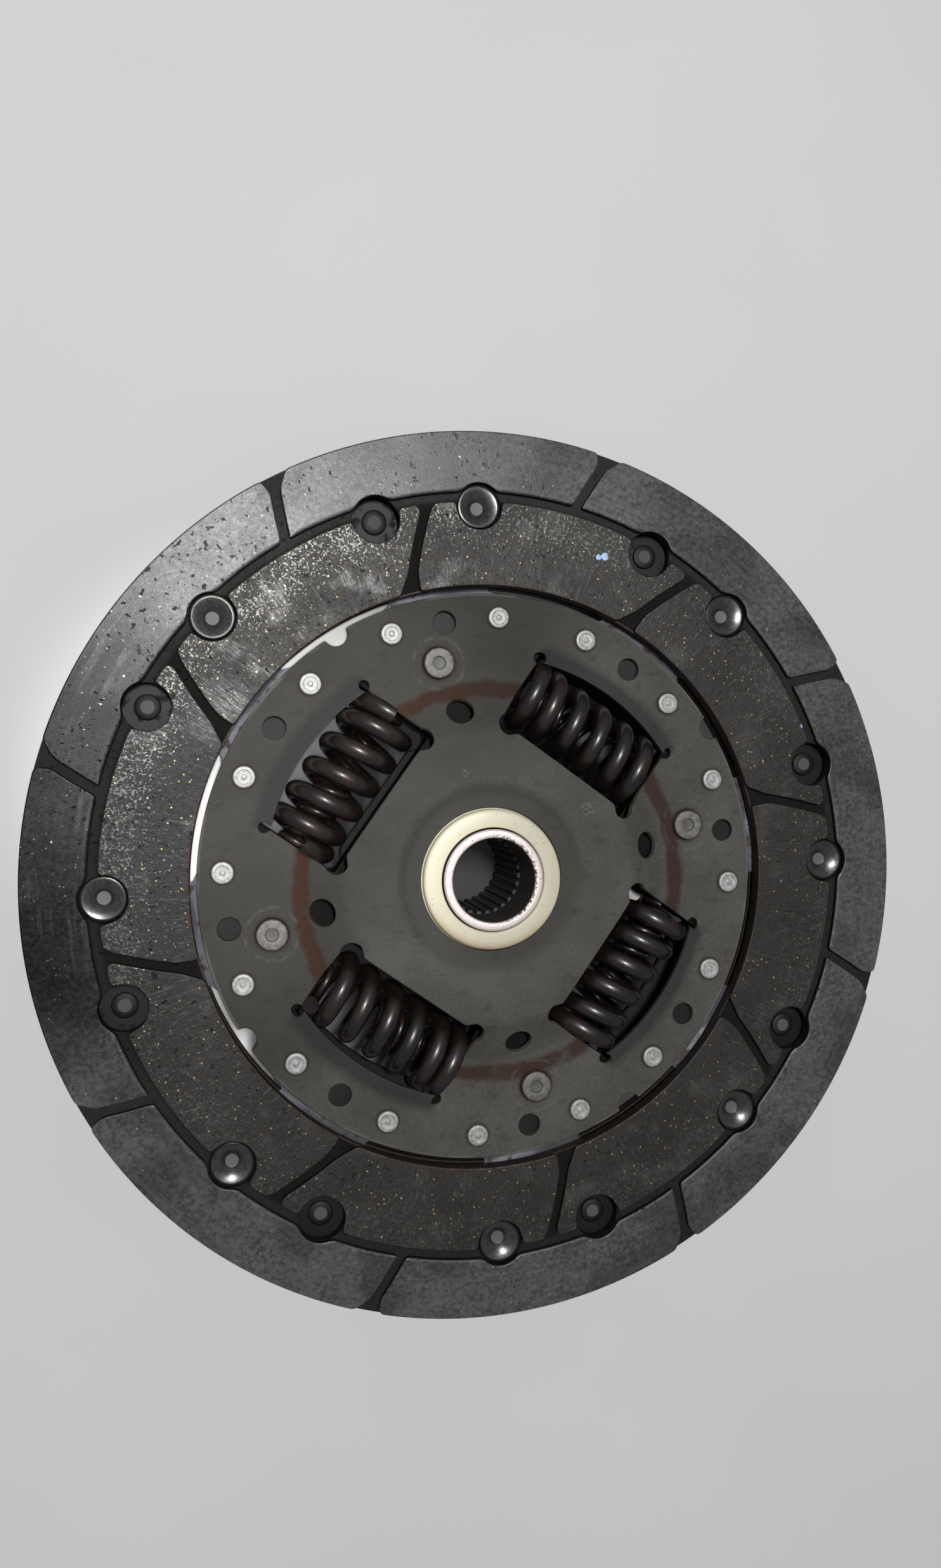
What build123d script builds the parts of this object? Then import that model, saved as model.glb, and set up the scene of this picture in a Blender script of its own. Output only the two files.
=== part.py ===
from build123d import *
from math import atan2, cos, radians, sin, tan
import os

# Dry clutch disc, 228 mm, with a four-spring torsional damper.
# Frame: Z is the shaft axis, Z = 0 is the gearbox end of the hub, +Z faces the flywheel.
# Stop pins sit on the X and Y axes, springs at 45 degrees between them.  Millimetres.

# Friction facings and cushion segments
facing_r, facing_bore_r, facing_t = 114.0, 75.0, 3.6
mid_z = 33.0                      # middle plane of the friction ring
free_t = 9.0                      # over both facings, uncompressed
segment_t = 0.7
segment_count = 8
groove_depth = 1.4
ring_groove_r = (96.4, 98.7)

# Facing rivets: each sector has one for the upper and one for the lower facing
rivet_pitch_r = 95.1
rivet_angle = 8.1                 # either side of the sector's middle
well_r, well_depth = 5.9, 1.6
seat_r, tail_r = 4.9, 2.2

# Rivets that hold the segments' feet under the drive plate
foot_rivet_pitch_r, foot_rivet_angle, foot_shank_r = 67.2, 12.15, 1.7

# Pressed plates (drive plate above, counter plate below, mirrored about spring_z)
plate_t = 1.8
plate_r, cone_foot_r, cone_top_r = 73.4, 47.8, 37.8
plate_top_z, dome_top_z = 34.6, 40.0
recess_r, recess_depth, plate_bore_r = 23.3, 0.8, 18.3
spring_z = 30.0
window_half, window_in = 21.3, 34.4
lip_root_r, lip_r, lip_rise = 61.9, 57.2, 2.7
bend_r = 4.0
relief_r = 1.45

# Damper springs
spring_r, wire_r, spring_axis_r = 10.2, 2.35, 45.6
inner_r, inner_wire_r = 5.0, 1.0

# Stop pins
pin_pitch_r, pin_angle, pin_head_r, pin_shoulder_r = 56.7, 3.4, 3.95, 4.6
pin_head_t = 1.3

# Hub
hub_top_z, hub_top_r, hub_low_r = 42.0, 12.95, 14.5
flange_t, flange_r, flange_slot_half = 5.0, 60.5, 13.5
lead_in_r, lead_in_z = 10.65, 27.1
tooth_count, spline_major_r, spline_minor_r = 28, 10.6, 9.95

os.makedirs("parts", exist_ok=True)


def polar(r, angle):
    """Point at a radius and an angle in degrees."""
    return (r * cos(radians(angle)), r * sin(radians(angle)))


def finish(builder, label):
    """Label a finished piece and write its STEP file."""
    builder.part.label = label
    export_step(builder.part, f"parts/{label}.step")


facing_low_z = mid_z + free_t / 2 - facing_t
facing_top_z = mid_z + free_t / 2
seg_high_z = facing_low_z - segment_t         # high half of a segment, against this facing
seg_low_z = 2 * mid_z - facing_low_z          # low half, on the facing of the other side

# ---------------------------------------------------------------- facings
# Tool for one rivet well: a straight counterbore over a conical seat.
seat_top_z = facing_top_z - well_depth
with BuildPart() as well:
    with BuildSketch(Plane.XZ):
        with BuildLine():
            Polyline(
                (0, facing_low_z - 0.1), (tail_r, facing_low_z - 0.1), (tail_r, facing_low_z),
                (seat_r, seat_top_z), (well_r, seat_top_z), (well_r, facing_top_z + 1),
                (0, facing_top_z + 1), close=True,
            )
        make_face()
    revolve(axis=Axis.Z)

# Outlines of one rim groove and one bore groove, both skewed and flared at the mouth.
with BuildSketch() as groove_outlines:
    with BuildLine():
        Polyline(
            polar(97.5, 21.2), polar(110.5, 18.85), polar(114.5, 16.9),
            polar(114.5, 20.6), polar(110.5, 20.15), polar(97.5, 22.6), close=True,
        )
    make_face()
    with BuildLine():
        Polyline(
            polar(97.5, -1.6), polar(94.5, -0.3), polar(80.0, 3.8), polar(74.0, 4.2),
            polar(74.0, 8.6), polar(80.0, 5.5), polar(94.5, 1.1), polar(97.5, 1.6), close=True,
        )
    make_face()

# A moulded ring: a ring groove joined to the rim and to the bore by skewed grooves,
# eight wells with conical seats for its own rivets, eight holes over the other side's.
with BuildPart() as upper_facing:
    with BuildSketch(Plane.XY.offset(facing_low_z)):
        Circle(facing_r)
        Circle(facing_bore_r, mode=Mode.SUBTRACT)
        with PolarLocations(rivet_pitch_r, segment_count, start_angle=rivet_angle):
            Circle(well_r, mode=Mode.SUBTRACT)
    extrude(amount=facing_t)
    with PolarLocations(rivet_pitch_r, segment_count, start_angle=-rivet_angle):
        add(well.part, mode=Mode.SUBTRACT)
    with BuildSketch(Plane.XY.offset(facing_top_z)):
        Circle(ring_groove_r[1])
        Circle(ring_groove_r[0], mode=Mode.SUBTRACT)
        with PolarLocations(0, segment_count):
            add(groove_outlines.sketch)
    extrude(amount=-groove_depth, mode=Mode.SUBTRACT)
finish(upper_facing, "upper_facing")

# The same ring turned over is the facing on the gearbox side.
turn_over = Axis((0, 0, mid_z), (1, 0, 0))
with BuildPart() as lower_facing:
    add(upper_facing.part.rotate(turn_over, 180))
finish(lower_facing, "lower_facing")

# ---------------------------------------------------------------- facing rivets
# Semi-tubular rivet: a dished head on the conical seat, its shank closed on the segment.
cup_floor_z, cup_floor_r, cup_lip = 33.5, 1.65, 0.4
tail_end_z, tail_roll_r = 32.6, 3.2
with BuildPart() as facing_rivet:
    with BuildSketch(Plane.XZ):
        with BuildLine():
            Polyline(
                (0, cup_floor_z), (cup_floor_r, cup_floor_z), (seat_r - cup_lip, seat_top_z + cup_lip),
                (seat_r, seat_top_z + cup_lip), (seat_r, seat_top_z), (tail_r, facing_low_z),
                (tail_r, seg_high_z), (tail_roll_r, seg_high_z), (tail_roll_r, tail_end_z),
                (0, tail_end_z), close=True,
            )
        make_face()
    revolve(axis=Axis.Z)

with BuildPart() as upper_facing_rivets:
    with PolarLocations(rivet_pitch_r, segment_count, start_angle=-rivet_angle):
        add(facing_rivet.part)
finish(upper_facing_rivets, "upper_facing_rivets")

with BuildPart() as lower_facing_rivets:
    add(upper_facing_rivets.part.rotate(turn_over, 180))
finish(lower_facing_rivets, "lower_facing_rivets")

# ---------------------------------------------------------------- cushion segments
# Spring steel between the facings: a flat foot under the drive plate, a neck that lifts one
# half of the blade to the upper facing, and a blade with a fold along its middle.
foot_in_r, foot_out_r, foot_half = 62.5, 71.5, 15.5
neck_in_x, neck_out_x, neck_in_half, neck_out_half = 73.5, 76.5, 12.8, 16.2
blade_out_r, blade_half = 110.0, 21.5
fold_half = 4.0


def wave(half, high):
    """Corner points, across the segment, of its section: one half high, the other low."""
    tops = [(-half, high), (-fold_half, high), (fold_half, seg_low_z), (half, seg_low_z)]
    return [(y, z + segment_t) for y, z in tops] + [(y, z) for y, z in reversed(tops)]


with BuildPart() as segment:
    with BuildSketch(Plane.YZ.offset(neck_out_x)):
        with BuildLine():
            Polyline(*wave(50, seg_high_z), close=True)
        make_face()
    extrude(amount=blade_out_r - neck_out_x)
    with BuildSketch(Plane.XY.offset(seg_low_z - 1)):
        with BuildLine():
            Line((neck_out_x, -neck_out_half), (neck_out_x, neck_out_half))
            Line((neck_out_x, neck_out_half), polar(77.5, blade_half))
            Line(polar(77.5, blade_half), polar(blade_out_r, blade_half))
            ThreePointArc(polar(blade_out_r, blade_half), (blade_out_r, 0), polar(blade_out_r, -blade_half))
            Line(polar(blade_out_r, -blade_half), polar(77.5, -blade_half))
            Line(polar(77.5, -blade_half), (neck_out_x, -neck_out_half))
        make_face()
        for side in (-rivet_angle, rivet_angle):
            with Locations(polar(rivet_pitch_r, side)):
                Circle(tail_r, mode=Mode.SUBTRACT)
    extrude(amount=5, mode=Mode.INTERSECT)
    with BuildSketch(Plane.YZ.offset(neck_in_x)):
        with BuildLine():
            Polyline(*wave(neck_in_half, seg_low_z + 0.1), close=True)
        make_face()
    with BuildSketch(Plane.YZ.offset(neck_out_x)):
        with BuildLine():
            Polyline(*wave(neck_out_half, seg_high_z), close=True)
        make_face()
    loft(ruled=True)
    with BuildSketch(Plane.XY.offset(seg_low_z)):
        with BuildLine():
            ThreePointArc(polar(foot_in_r, -foot_half), (foot_in_r, 0), polar(foot_in_r, foot_half))
            Line(polar(foot_in_r, foot_half), polar(foot_out_r, foot_half))
            Line(polar(foot_out_r, foot_half), (neck_in_x, neck_in_half))
            Line((neck_in_x, neck_in_half), (neck_in_x, -neck_in_half))
            Line((neck_in_x, -neck_in_half), polar(foot_out_r, -foot_half))
            Line(polar(foot_out_r, -foot_half), polar(foot_in_r, -foot_half))
        make_face()
        for side in (-foot_rivet_angle, foot_rivet_angle):
            with Locations(polar(foot_rivet_pitch_r, side)):
                Circle(foot_shank_r, mode=Mode.SUBTRACT)
    extrude(amount=segment_t)

for number in range(segment_count):
    with BuildPart() as cushion_segment:
        add(segment.part.rotate(Axis.Z, 45 * number))
    finish(cushion_segment, f"cushion_segment_{number + 1}")


# ---------------------------------------------------------------- pressed plates
# Sheet profile: outer flat, cone, raised centre with a shallow recess round the bore.
cone_angle = atan2(dome_top_z - plate_top_z, cone_foot_r - cone_top_r)
under = plate_t * tan(cone_angle / 2)          # how far a bend's corner moves through the sheet


def sheet_section(outer, bore):
    """Closed section of a pressed plate in (radius, height)."""
    return [
        (bore, dome_top_z - recess_depth),
        (recess_r, dome_top_z - recess_depth),
        (recess_r, dome_top_z),
        (cone_top_r, dome_top_z),
        (cone_foot_r, plate_top_z),
        (outer, plate_top_z),
        (outer, plate_top_z - plate_t),
        (cone_foot_r - under, plate_top_z - plate_t),
        (cone_top_r - under, dome_top_z - plate_t),
        (bore, dome_top_z - plate_t),
    ]


# A raised lip runs along the outer side of each window and keeps the spring in.
lip_half = 20.0
with BuildPart() as lip:
    start = Plane((0, 0, 0), x_dir=(*polar(1, -lip_half), 0), z_dir=(*polar(1, -lip_half - 90), 0))
    with BuildSketch(start):
        with BuildLine():
            Polyline(
                (lip_root_r + 0.8, plate_top_z),
                (lip_root_r, plate_top_z),
                (lip_r, plate_top_z + lip_rise),
                (lip_r + 0.55, plate_top_z + lip_rise - plate_t),
                (lip_root_r - 0.5, plate_top_z - plate_t),
                (lip_root_r + 0.8, plate_top_z - plate_t),
                close=True,
            )
        make_face()
    revolve(axis=Axis.Z, revolution_arc=2 * lip_half)

# Tool for the round holes through the cone, square to its slope.
with BuildPart() as cone_hole:
    cone_z = plate_top_z + (cone_foot_r - 43.7) * tan(cone_angle)
    slope = Plane((43.7, 0, cone_z), x_dir=(0, 1, 0), z_dir=(sin(cone_angle), 0, cos(cone_angle)))
    with BuildSketch(slope):
        Circle(3.55)
    extrude(amount=4, both=True)


# Outline of one window with its corner reliefs and the relief holes at the lip's ends.
with BuildSketch() as window:
    lip_x = (lip_root_r**2 - window_half**2) ** 0.5
    with BuildLine():
        Line((lip_x, -window_half), (window_in, -window_half))
        Line((window_in, -window_half), (window_in, window_half))
        Line((window_in, window_half), (lip_x, window_half))
        ThreePointArc((lip_x, window_half), (lip_root_r, 0), (lip_x, -window_half))
    make_face()
    with Locations((window_in + 1, -18.8), (window_in + 1, 18.8)):
        Circle(3.0)
    with Locations(polar(58.7, -21.6), polar(58.7, 21.6)):
        Circle(relief_r)


def pressing(outer, bore):
    """Pressed plate with four lipped spring windows and four stop-pin holes."""
    with BuildPart() as plate:
        with BuildSketch(Plane.XZ) as section:
            with BuildLine():
                Polyline(*sheet_section(outer, bore), close=True)
            make_face()
            fillet([v for v in section.vertices() if abs(v.X - cone_foot_r) < 0.1], bend_r)
            fillet([v for v in section.vertices() if abs(v.X - cone_foot_r + under) < 0.1], bend_r + plate_t)
            fillet([v for v in section.vertices() if abs(v.X - cone_top_r) < 0.1], bend_r + plate_t)
            fillet([v for v in section.vertices() if abs(v.X - cone_top_r + under) < 0.1], bend_r)
        revolve(axis=Axis.Z)
        with BuildSketch(Plane.XY.offset(spring_z)):
            with PolarLocations(0, 4, start_angle=45):
                add(window.sketch)
            with PolarLocations(pin_pitch_r, 4, start_angle=pin_angle):
                Circle(pin_head_r)
        extrude(amount=12, mode=Mode.SUBTRACT)
        with PolarLocations(0, 4, start_angle=45):
            add(lip.part)
    return plate.part


with BuildPart() as drive_plate:
    add(pressing(plate_r, plate_bore_r))
    with BuildSketch(Plane.XY.offset(plate_top_z)):
        with PolarLocations(66.6, segment_count):
            Circle(2.9)
        with PolarLocations(plate_r, 4, start_angle=22.5):
            Circle(3.1)
        for side in (-foot_rivet_angle, foot_rivet_angle):
            with PolarLocations(foot_rivet_pitch_r, segment_count, start_angle=side):
                Circle(foot_shank_r)
    extrude(amount=-plate_t, mode=Mode.SUBTRACT)
    with PolarLocations(0, 4, start_angle=0.4):
        add(cone_hole.part, mode=Mode.SUBTRACT)
finish(drive_plate, "drive_plate")

with BuildPart() as counter_plate:
    add(mirror(pressing(64.5, 15.4), about=Plane.XY.offset(spring_z), mode=Mode.PRIVATE))
finish(counter_plate, "counter_plate")

# ---------------------------------------------------------------- fasteners of the plates
# Rivets through plate and segment feet: low buttons on both sides.
with BuildPart() as foot_rivet:
    with BuildSketch(Plane.XZ):
        with BuildLine():
            Polyline(
                (0, seg_low_z - 0.8), (2.5, seg_low_z - 0.8), (2.5, seg_low_z),
                (foot_shank_r, seg_low_z), (foot_shank_r, plate_top_z), (2.7, plate_top_z),
                (2.7, plate_top_z + 0.5), (2.2, plate_top_z + 0.9), (0, plate_top_z + 0.9), close=True,
            )
        make_face()
    revolve(axis=Axis.Z)

with BuildPart() as segment_rivets:
    for side in (-foot_rivet_angle, foot_rivet_angle):
        with PolarLocations(foot_rivet_pitch_r, segment_count, start_angle=side):
            add(foot_rivet.part)
finish(segment_rivets, "segment_rivets")

# Stop pins: shoulders that space the plates and stop the hub flange, heads in the plates.
pin_low_z, pin_high_z = 2 * spring_z - plate_top_z, plate_top_z
with BuildPart() as stop_pins:
    with BuildSketch(Plane.XY.offset(pin_low_z - pin_head_t)):
        with PolarLocations(pin_pitch_r, 4, start_angle=pin_angle):
            Circle(pin_head_r)
    extrude(amount=pin_high_z - pin_low_z + 2 * pin_head_t)
    with BuildSketch(Plane.XY.offset(pin_low_z + plate_t)):
        with PolarLocations(pin_pitch_r, 4, start_angle=pin_angle):
            Circle(pin_shoulder_r)
    extrude(amount=pin_high_z - pin_low_z - 2 * plate_t)
finish(stop_pins, "stop_pins")

# ---------------------------------------------------------------- hub
# Notch in the end of a flange arm, inside which a stop pin swings.
with BuildSketch() as arm_notch:
    with BuildLine():
        Polyline(
            polar(51.6, -flange_slot_half), polar(64, -flange_slot_half),
            polar(64, flange_slot_half), polar(51.6, flange_slot_half), close=True,
        )
    make_face()

# Splined sleeve with an integral flange: four arms between the springs, each notched for a
# stop pin.
flange_low_z, flange_high_z = spring_z - flange_t / 2, spring_z + flange_t / 2
with BuildPart() as hub:
    with BuildSketch():
        Circle(hub_low_r)
    extrude(amount=spring_z)
    with BuildSketch(Plane.XY.offset(spring_z)):
        Circle(hub_top_r)
    extrude(amount=hub_top_z - spring_z)
    with BuildSketch(Plane.XY.offset(flange_low_z)):
        Circle(flange_r)
        with PolarLocations(window_in + 20, 4, start_angle=45):
            Rectangle(40, 2 * window_half, mode=Mode.SUBTRACT)
        with PolarLocations(0, 4):
            add(arm_notch.sketch, mode=Mode.SUBTRACT)
    extrude(amount=flange_t)
    with BuildSketch():
        Circle(spline_major_r)
        with PolarLocations(spline_major_r, tooth_count):
            Rectangle(2 * (spline_major_r - spline_minor_r), 1.15, mode=Mode.SUBTRACT)
    extrude(amount=hub_top_z, mode=Mode.SUBTRACT)
    with BuildSketch(Plane.XY.offset(lead_in_z)):
        Circle(lead_in_r)
    extrude(amount=hub_top_z - lead_in_z, mode=Mode.SUBTRACT)
    top_edges = hub.edges().group_by(Axis.Z)[-1]
    chamfer(top_edges, 0.4)
    foot_edge = hub.edges().group_by(Axis.Z)[0].sort_by(SortBy.LENGTH)[-1]
    chamfer(foot_edge, 1.0)
finish(hub, "hub")

# ---------------------------------------------------------------- bush and friction pack
with BuildPart() as hub_bush:
    with BuildSketch(Plane.XZ):
        with BuildLine():
            Polyline(
                (13.3, 32.7), (13.3, 40.9), (17.9, 40.9), (17.9, 38.0), (22.5, 38.0), (22.5, 36.2),
                (17.9, 36.2), (17.9, 32.7), close=True,
            )
        make_face()
    revolve(axis=Axis.Z)
finish(hub_bush, "hub_bush")

with BuildPart() as friction_ring:
    with BuildSketch(Plane.XZ):
        with BuildLine():
            Polyline((15.6, 25.2), (15.6, 27.3), (24.0, 27.3), (24.0, 25.2), close=True)
        make_face()
    revolve(axis=Axis.Z)
finish(friction_ring, "friction_ring")

# Coned spring washer pressed between the counter plate and the friction ring.
with BuildPart() as diaphragm_spring:
    with BuildSketch(Plane.XZ):
        with BuildLine():
            Polyline((17.0, 24.3), (17.3, 25.2), (28.0, 22.7), (27.7, 21.8), close=True)
        make_face()
    revolve(axis=Axis.Z)
finish(diaphragm_spring, "diaphragm_spring")


# ---------------------------------------------------------------- damper springs
def coil(mean_r, wire, turns, length, steps, sides):
    """Right-hand coil spring along Z, centred, with a closed and ground turn at each end."""
    start_z = 0.7 * wire - length / 2
    closed_pitch = 2.02 * wire
    pitch = (-2 * start_z - 2 * closed_pitch) / (turns - 2)
    path = []
    for step in range(turns * steps + 1):
        turn = step / steps
        rise = closed_pitch * (min(turn, 1) + max(turn - turns + 1, 0))
        rise += pitch * min(max(turn - 1, 0), turns - 2)
        path.append((*polar(mean_r, 360 * turn), start_z + rise))
    with BuildPart() as spring:
        with BuildLine():
            Polyline(*path)
        tangent = Vector(*path[1]) - Vector(*path[0])
        with BuildSketch(Plane(path[0], z_dir=tangent)):
            RegularPolygon(wire, sides)
        sweep(transition=Transition.RIGHT)
        split(bisect_by=Plane.XY.offset(length / 2), keep=Keep.BOTTOM)
        split(bisect_by=Plane.XY.offset(-length / 2), keep=Keep.TOP)
    return spring.part


# Each outer spring with its inner spring, seated in its window at the turn it was fitted in.
outer_coil = coil(spring_r - wire_r, wire_r, 6, 2 * window_half, 12, 8)
inner_coil = coil(inner_r - inner_wire_r, inner_wire_r, 8, 2 * window_half, 8, 6)
for number, phase in enumerate((47, 263, -40, 162)):
    angle = 45 + 90 * number
    seat = Plane(
        (*polar(spring_axis_r, angle), spring_z),
        x_dir=(*polar(1, angle), 0),
        z_dir=(*polar(1, angle + 90), 0),
    )
    with BuildPart() as damper_spring:
        with Locations(seat.location * Location((0, 0, 0), (0, 0, phase))):
            add(outer_coil)
    finish(damper_spring, f"damper_spring_{number + 1}")
    with BuildPart() as inner_spring:
        with Locations(seat.location * Location((0, 0, 0), (0, 0, phase + 90))):
            add(inner_coil)
    finish(inner_spring, f"inner_spring_{number + 1}")
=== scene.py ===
import math

import bpy
import numpy as np
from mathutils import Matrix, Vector
from mathutils.geometry import delaunay_2d_cdt


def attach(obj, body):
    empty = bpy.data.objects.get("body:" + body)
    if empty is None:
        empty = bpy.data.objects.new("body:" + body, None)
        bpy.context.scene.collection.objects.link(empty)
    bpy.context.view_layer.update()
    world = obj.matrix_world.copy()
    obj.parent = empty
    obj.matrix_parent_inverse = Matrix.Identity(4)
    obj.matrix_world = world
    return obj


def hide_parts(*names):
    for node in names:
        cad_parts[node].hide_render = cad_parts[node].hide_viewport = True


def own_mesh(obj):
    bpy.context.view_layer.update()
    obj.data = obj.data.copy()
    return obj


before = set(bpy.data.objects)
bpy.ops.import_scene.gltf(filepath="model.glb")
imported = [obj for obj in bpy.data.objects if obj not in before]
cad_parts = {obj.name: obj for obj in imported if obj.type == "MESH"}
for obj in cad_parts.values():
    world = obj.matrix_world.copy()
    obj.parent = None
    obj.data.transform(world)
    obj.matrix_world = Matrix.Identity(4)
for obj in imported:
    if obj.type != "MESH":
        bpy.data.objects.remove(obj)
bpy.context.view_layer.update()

# ------------------------------------------------------------------ hub
# The sleeve that slides on the gearbox shaft, and the flange that the springs push on.
# Forged steel, turned and ground on its end, with broached splines; the flange is one
# piece with it. Oil and dust have darkened the bore, and the end face is bright.


class Flow:
    """A socket's value: + - * / and ** with it, on either side, add Math nodes."""

    def __init__(self, tree, socket=None):
        self.tree, self.socket = tree, socket

    def node(self, kind, feeds, out=0, **settings):
        """Any other node: its kind, what goes in each input, the output taken, its settings."""
        made = self.tree.nodes.new("ShaderNode" + kind)
        for key, value in settings.items():
            setattr(made, key, value)
        for key, value in feeds.items():
            if isinstance(value, Flow):
                self.tree.links.new(value.socket, made.inputs[key])
            else:
                made.inputs[key].default_value = value
        return Flow(self.tree, made.outputs[out])

    def math(self, operation, *values):
        """A Math node with these values in its inputs."""
        return self.node("Math", dict(enumerate(values)), operation=operation)

    def most(self, other):
        return self.math("MAXIMUM", self, other)

    def least(self, other):
        return self.math("MINIMUM", self, other)

    def __add__(self, other):
        return self.math("ADD", self, other)

    def __radd__(self, other):
        return self.math("ADD", other, self)

    def __sub__(self, other):
        return self.math("SUBTRACT", self, other)

    def __rsub__(self, other):
        return self.math("SUBTRACT", other, self)

    def __mul__(self, other):
        return self.math("MULTIPLY", self, other)

    def __rmul__(self, other):
        return self.math("MULTIPLY", other, self)

    def __truediv__(self, other):
        return self.math("DIVIDE", self, other)

    def __rtruediv__(self, other):
        return self.math("DIVIDE", other, self)

    def __pow__(self, other):
        return self.math("POWER", self, other)

    def __rpow__(self, other):
        return self.math("POWER", other, self)

    def step(self, low, high):
        """0 below low, 1 above high, smooth between; reversed when low is the larger."""
        feeds = {0: self, 1: low, 2: high}
        return self.node("MapRange", feeds, interpolation_type="SMOOTHSTEP")

    def mix(self, low, high):
        """Colour that goes from low to high as this value goes from 0 to 1."""
        return self.node("Mix", {0: self, 6: low, 7: high}, out=2, data_type="RGBA")

    def noise(self, scale, detail=2.0):
        """Noise over this position, scale in features per millimetre."""
        return self.node("TexNoise", {"Vector": self, "Scale": scale, "Detail": detail})

    def specks(self, scale, size, share):
        """Small round grains: 1 at the middle of some Voronoi cells and 0 between them."""
        feeds = {"Vector": self, "Scale": scale}
        far = self.node("TexVoronoi", feeds, out=0)
        pick = self.node("TexVoronoi", feeds, out=1)
        pick = pick.node("SeparateColor", {0: pick}, out=0)
        return far.step(size, size * 0.6) * pick.step(share, share * 0.98)

    def stretch(self, x, y, z):
        """This position with its three parts scaled."""
        return self.node("VectorMath", {0: self, 1: (x, y, z)}, operation="MULTIPLY")


class Finish:
    """A Principled material. Its place is the piece's own coordinates in millimetres."""

    def __init__(self, name, **constants):
        self.material = bpy.data.materials.new(name)
        self.material.use_nodes = True
        self.tree = self.material.node_tree
        self.shader = self.tree.nodes["Principled BSDF"]
        for key, value in constants.items():
            self.shader.inputs[key.replace("_", " ")].default_value = value
        start = Flow(self.tree).node("TexCoord", {}, out=3)
        self.at = start.node("VectorMath", {0: start, 3: 1000.0}, operation="SCALE")
        self.x = self.at.node("SeparateXYZ", {0: self.at}, out=0)
        self.y = self.at.node("SeparateXYZ", {0: self.at}, out=1)
        self.z = self.at.node("SeparateXYZ", {0: self.at}, out=2)
        self.r = (self.x * self.x + self.y * self.y) ** 0.5
        self.angle = self.y.math("ARCTAN2", self.y, self.x) * (180 / math.pi)

    def polar(self, across, along):
        """(x / r, y / r) times along and r times across, for marks along or across a radius."""
        feeds = {0: self.x / self.r * along, 1: self.y / self.r * along, 2: self.r * across}
        return self.r.node("CombineXYZ", feeds)

    def nearest(self, radius, start, count):
        """Distance from the nearest of several points spaced evenly on a circle."""
        share = (self.angle - start) * (count / 360) + (count + 0.5)
        side = (share.math("FRACT", share) - 0.5) * (2 * math.pi / count) * self.r
        return (side * side + (self.r - radius) ** 2.0) ** 0.5

    def near(self, radius, degrees, reach, soft=0.5):
        """1 within reach of a point given by radius and angle, 0 away from it."""
        turn = math.radians(degrees)
        dx, dy = self.x - radius * math.cos(turn), self.y - radius * math.sin(turn)
        return ((dx * dx + dy * dy) ** 0.5).step(reach, reach * (1 - soft))

    def bump(self, height, strength, depth):
        """Surface relief, depth in millimetres."""
        feeds = {"Height": height, "Strength": strength, "Distance": depth / 1000}
        self.set("Normal", height.node("Bump", feeds))

    def set(self, key, value):
        """Feeds a value into one of the shader's inputs."""
        self.tree.links.new(value.socket, self.shader.inputs[key])


def cells(rows, columns, closed_rows):
    """Quads over a grid of rows and columns, whose columns always close."""
    i = np.arange(rows if closed_rows else rows - 1)[:, None]
    j = np.arange(columns)[None, :]
    below, beside = (i + 1) % rows * columns, (j + 1) % columns
    corners = [i * columns + j, below + j, below + beside, i * columns + beside]
    return np.stack([np.broadcast_to(c, (len(i), columns)) for c in corners], -1).reshape(-1, 4)


def build(name, body, slot, material, nodes, *shells, crease=32):
    """One mesh from closed shells (points in millimetres, face arrays), turned outward."""
    points, loops, sizes, start = [], [], [], 0
    for shell, *faces in shells:
        volume = 0
        for face in faces:
            for k in range(1, face.shape[1] - 1) if face.shape[1] <= 4 else ():
                a, b, c = shell[face[:, 0]], shell[face[:, k]], shell[face[:, k + 1]]
                volume += np.einsum("ij,ij->", a, np.cross(b, c))
        for face in faces:
            outward = face[:, ::-1] if volume < 0 else face
            loops.append(outward.ravel() + start)
            sizes.append(np.full(len(face), face.shape[1]))
        points.append(shell)
        start += len(shell)
    co = np.vstack(points) / 1000
    loops, sizes = np.concatenate(loops), np.concatenate(sizes)
    mesh = bpy.data.meshes.new(name)
    mesh.vertices.add(len(co))
    mesh.vertices.foreach_set("co", co.ravel())
    mesh.loops.add(len(loops))
    mesh.loops.foreach_set("vertex_index", loops)
    mesh.polygons.add(len(sizes))
    mesh.polygons.foreach_set("loop_start", np.cumsum(sizes) - sizes)
    mesh.update(calc_edges=True)
    mesh.validate()
    mesh.set_sharp_from_angle(angle=math.radians(crease))
    mesh.materials.append(material.material)
    piece = bpy.data.objects.new(name, mesh)
    bpy.context.scene.collection.objects.link(piece)
    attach(piece, body)
    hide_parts(*nodes)
    return piece


def eased(corners, radius, steps=4):
    """Closed outline with each corner c replaced by an arc that touches both its sides:
    p(t) = centre + R (u0 sin((1 - t) w) + u1 sin(t w)) / sin w, w the angle it turns."""
    c = np.array(corners, float)
    radius = np.broadcast_to(np.array(radius, float), len(c))[:, None]
    back, ahead = np.roll(c, 1, 0) - c, np.roll(c, -1, 0) - c
    back /= np.linalg.norm(back, axis=1, keepdims=True)
    ahead /= np.linalg.norm(ahead, axis=1, keepdims=True)
    almost = 0.99999
    half = np.arccos(np.clip((back * ahead).sum(1, keepdims=True), -almost, almost)) / 2
    centre = c + (back + ahead) / (2 * np.cos(half)) * radius / np.sin(half)
    u0 = (c + back * radius / np.tan(half) - centre) / radius
    u1 = (c + ahead * radius / np.tan(half) - centre) / radius
    w = (math.pi - 2 * half)[:, None]
    t = np.linspace(0, 1, steps)[None, :, None]
    bow = (u0[:, None] * np.sin((1 - t) * w) + u1[:, None] * np.sin(t * w)) / np.sin(w)
    return (centre[:, None] + radius[:, None] * bow).reshape(-1, 2)


def smooth(low, high, value):
    """3t^2 - 2t^3 for t from 0 at low to 1 at high."""
    t = np.clip((value - low) / (high - low), 0, 1)
    return t * t * (3 - 2 * t)


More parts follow.
